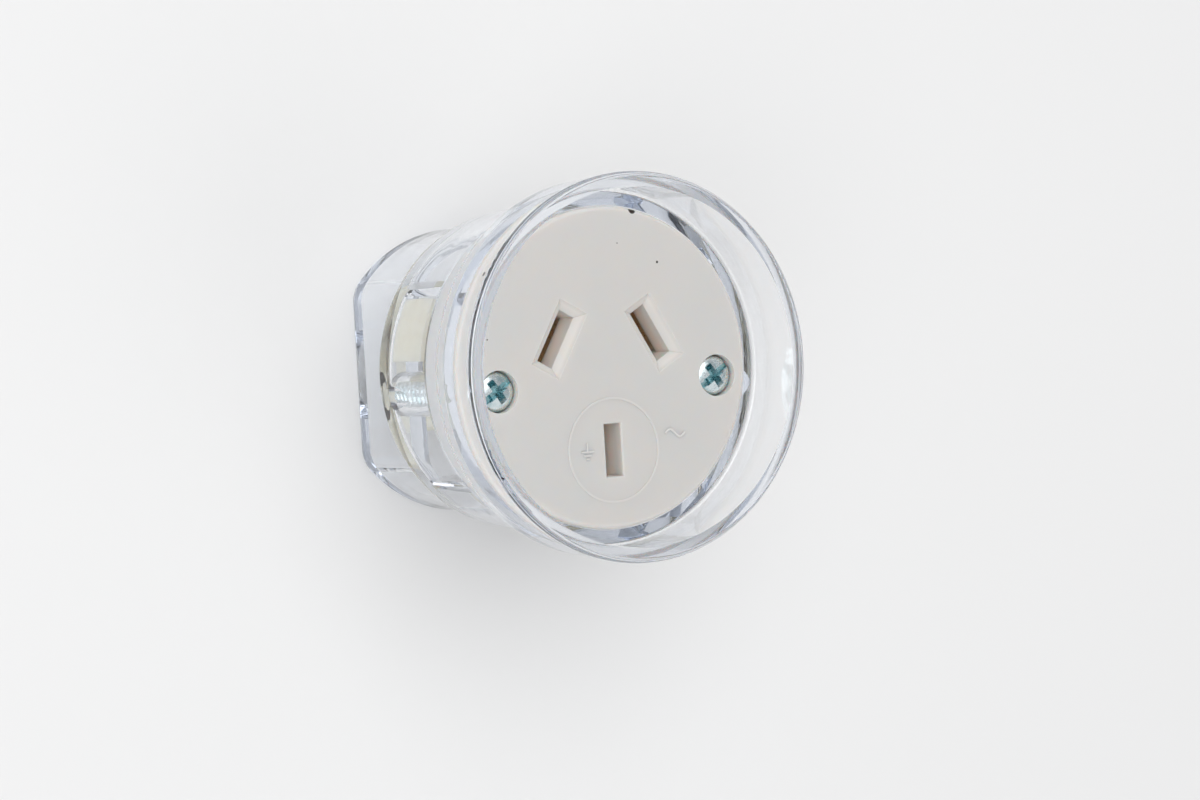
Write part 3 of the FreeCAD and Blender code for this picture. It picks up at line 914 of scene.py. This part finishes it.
class SOCKET_OT_insert(bpy.types.Operator):
    """Dress the slotted insert and raise its signs"""
    bl_idname = "socket.insert"
    bl_label = "Slotted insert"

    def execute(self, context):
        settings = context.scene.socket
        signs = settings.signs
        face_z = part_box("fixing_screw_left")[1].z + HEAD_SINK
        body = once("insert_moulding", insert_plastic, settings.insert, "insert_moulding", face_z, 1.0)
        dress("socket_insert", body)
        raised = once("sign_moulding", insert_plastic, settings.insert, "sign_moulding", face_z, 0.0)
        wave = [wave_path(signs.wave_place, signs.wave_length)]
        ground = ground_paths(signs.ground_place, signs.ground_width)
        thin_bead = signs.bead * 0.7
        for name, paths, bead in (("wave_sign", wave, signs.bead), ("ground_sign", ground, thin_bead)):
            mesh = bead_mesh(name, paths, bead, signs.height, face_z)
            new_piece(name, mesh, raised)
        return {"FINISHED"}


class SOCKET_OT_retainer(bpy.types.Operator):
    """Dress the contact retainer and the cord clamp bar"""
    bl_idname = "socket.retainer"
    bl_label = "Retainer and clamp bar"

    def execute(self, context):
        material = once("cream_moulding", cream_plastic, context.scene.socket.cream)
        for node in ("contact_retainer", "cord_clamp_bar"):
            dress(node, material)
        return {"FINISHED"}


class SOCKET_OT_contacts(bpy.types.Operator):
    """Dress the contacts, terminals and rivets"""
    bl_idname = "socket.contacts"
    bl_label = "Contacts and terminals"

    def execute(self, context):
        look = context.scene.socket.brass
        press_marks = 0.0004
        lathe_marks = 0.00015
        pressed = ("pressed_brass", look.strip_colour, look.strip_stain, press_marks)
        turned = ("turned_brass", look.colour, look.stain_colour, lathe_marks)
        strip = once(pressed[0], brass, look, *pressed)
        block = once(turned[0], brass, look, *turned)
        for name in SLOT_NAMES:
            dress(name + "_contact", strip)
            dress(name + "_terminal", block)
            dress(name + "_rivet", block)
        return {"FINISHED"}


class SOCKET_OT_fixing_screws(bpy.types.Operator):
    """Make the two long screws with their threads and driver recesses"""
    bl_idname = "socket.fixing_screws"
    bl_label = "Fixing screws"

    def execute(self, context):
        settings = context.scene.socket
        top_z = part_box("fixing_screw_left")[1].z
        material = once("pooled_zinc", zinc_plate, settings.zinc, "pooled_zinc", top_z)
        head = LONG_SCREW.head_height
        driver_turn = Matrix.Rotation(math.radians(35), 4, "Z")
        for side in SIDES:
            node = "fixing_screw_" + side
            low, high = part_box(node)
            at = Vector((middle_of(node).x, middle_of(node).y, high.z - head * MM))
            mesh = screw_mesh(node, settings.screws, LONG_SCREW, (high.z - low.z) / MM - head)
            set_screw(node, mesh, at, driver_turn, material)
        return {"FINISHED"}


class SOCKET_OT_small_screws(bpy.types.Operator):
    """Make the small screws of the terminals, the clamp and the retainer"""
    bl_idname = "socket.small_screws"
    bl_label = "Small screws"

    def execute(self, context):
        settings = context.scene.socket
        material = once("blue_zinc", zinc_plate, settings.zinc, "blue_zinc")
        head = SMALL_SCREW.head_height * MM
        up_y = Matrix.Rotation(math.radians(-90), 4, "X")
        for side in SIDES:
            node = "clamp_screw_" + side
            low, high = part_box(node)
            at = Vector((middle_of(node).x, high.y - head, middle_of(node).z))
            mesh = screw_mesh(node, settings.screws, SMALL_SCREW, (high.y - low.y - head) / MM)
            set_screw(node, mesh, at, up_y, material)
        low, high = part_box("retainer_screw")
        at = Vector((0, 0, low.z + head))
        mesh = screw_mesh("retainer_screw", settings.screws, SMALL_SCREW, (high.z - low.z - head) / MM)
        set_screw("retainer_screw", mesh, at, Matrix.Rotation(math.pi, 4, "X"), material)
        for name in SLOT_NAMES:
            node = name + "_terminal_screw"
            block = middle_of(name + "_terminal")
            outward = Vector((block.x, block.y, 0)).normalized()
            at = Vector((block.x, block.y, middle_of(node).z)) + outward * TERMINAL_SCREW_SEAT * MM
            facing = Matrix.Rotation(math.atan2(outward.y, outward.x) - math.pi / 2, 4, "Z") @ up_y
            mesh = screw_mesh(node, settings.screws, SMALL_SCREW, TERMINAL_SCREW_LENGTH, crossed=False)
            set_screw(node, mesh, at, facing, material)
        return {"FINISHED"}


class SOCKET_OT_stage(bpy.types.Operator):
    """Lay the floor, and set the light, its bounces and the camera"""
    bl_idname = "socket.stage"
    bl_label = "Stage"

    def execute(self, context):
        look = context.scene.socket.stage
        lay_floor(look)
        light_sky(look)
        soft_lamp("key_lamp", look.key_power, look.key_place, look.key_size)
        soft_lamp("fill_lamp", look.fill_power, look.fill_place, look.fill_size)
        set_camera(look)
        context.scene.view_settings.view_transform = "Standard"
        set_bounces(context.scene.cycles)
        return {"FINISHED"}


def lay_floor(look):
    """Round flat floor, just under the end of the tail."""
    form = bmesh.new()
    bmesh.ops.create_circle(form, cap_ends=True, radius=look.floor_size / 2, segments=96)
    floor = bpy.data.objects.new("floor", mesh_from(form, "floor", math.pi))
    floor.data.materials.append(floor_paint(look))
    floor.location.z = cad_box[0][2] - look.floor_gap
    bpy.context.scene.collection.objects.link(floor)


def light_sky(look):
    """Soft surroundings: pale at floor level, greyer overhead, and bright where the screws mirror them."""
    bright_way = (0.45, -0.42, 0.79)
    bright_edge, bright_heart = 0.88, 0.96
    pale_to, grey_from = 0.10, 0.35
    world = bpy.data.worlds.new("sky")
    world.use_nodes = True
    paint = Paint(world.node_tree)
    way = paint.add("ShaderNodeTexCoord", output="Generated")
    up = paint.add("ShaderNodeSeparateXYZ", None, {0: way}, "Z")
    stops = ((0.0, look.sky_low), (pale_to, look.sky_low), (grey_from, look.sky_high), (1.0, look.sky_high))
    height = paint.add("ShaderNodeValToRGB", {"stops": stops}, {0: up})
    toward = paint.vector_math("DOT_PRODUCT", way, bright_way)
    bright = paint.spread(toward, bright_edge, bright_heart, 0.0, 1.0)
    shade = paint.blend(bright, height, look.sky_bright)
    sky = paint.add("ShaderNodeBackground", None, {"Color": shade, "Strength": 1.0})
    paint.add("ShaderNodeOutputWorld", None, {"Surface": sky})
    bpy.context.scene.world = world


def soft_lamp(name, power, place, size):
    """Square soft lamp that faces the object."""
    data = bpy.data.lights.new(name, "AREA")
    data.energy = power
    data.size = size
    lamp = bpy.data.objects.new(name, data)
    lamp.location = place
    lamp.rotation_euler = Vector(place).to_track_quat("Z", "Y").to_euler()
    bpy.context.scene.collection.objects.link(lamp)


def set_bounces(cycles):
    """Lets light turn often enough to find its way out of the clear walls, which are dark otherwise."""
    turns = 16
    cycles.max_bounces = turns
    cycles.glossy_bounces = turns
    cycles.transmission_bounces = turns
    cycles.transparent_max_bounces = turns + 4


def set_camera(look):
    """Camera at the photograph's angle."""
    data = bpy.data.cameras.new("camera")
    data.sensor_width = 36.0
    data.lens = look.lens
    data.clip_start = 0.01
    camera = bpy.data.objects.new("camera", data)
    camera.location = look.camera_place
    camera.rotation_euler = look.camera_turn
    bpy.context.scene.collection.objects.link(camera)
    bpy.context.scene.camera = camera


class SOCKET_PT_panel(bpy.types.Panel):
    """Steps that make the socket"""
    bl_idname = "SOCKET_PT_panel"
    bl_label = "Inline socket connector"
    bl_space_type = "VIEW_3D"
    bl_region_type = "UI"
    bl_category = "Socket"

    def draw(self, context):
        for step in STEPS:
            self.layout.operator(step.bl_idname)


STEPS = (
    SOCKET_OT_housing, SOCKET_OT_insert, SOCKET_OT_retainer, SOCKET_OT_contacts,
    SOCKET_OT_fixing_screws, SOCKET_OT_small_screws, SOCKET_OT_stage,
)
GROUPS = (
    ClearLook, InsertLook, CreamLook, BrassLook, ZincLook, ScrewSizes, SignSizes, StageLook, SocketSettings,
)


def register():
    for part in (*GROUPS, *STEPS, SOCKET_PT_panel):
        bpy.utils.register_class(part)
    bpy.types.Scene.socket = PointerProperty(type=SocketSettings)


def unregister():
    del bpy.types.Scene.socket
    for part in reversed((*GROUPS, *STEPS, SOCKET_PT_panel)):
        bpy.utils.unregister_class(part)


def plain(box):
    """Box as lists of numbers."""
    return [[float(number) for number in corner] for corner in box]


def main():
    """Makes the whole scene."""
    register()
    bpy.ops.socket.housing()
    bpy.ops.socket.insert()
    bpy.ops.socket.retainer()
    bpy.ops.socket.contacts()
    bpy.ops.socket.fixing_screws()
    bpy.ops.socket.small_screws()
    bpy.ops.socket.stage()


if __name__ == "__main__":
    main()
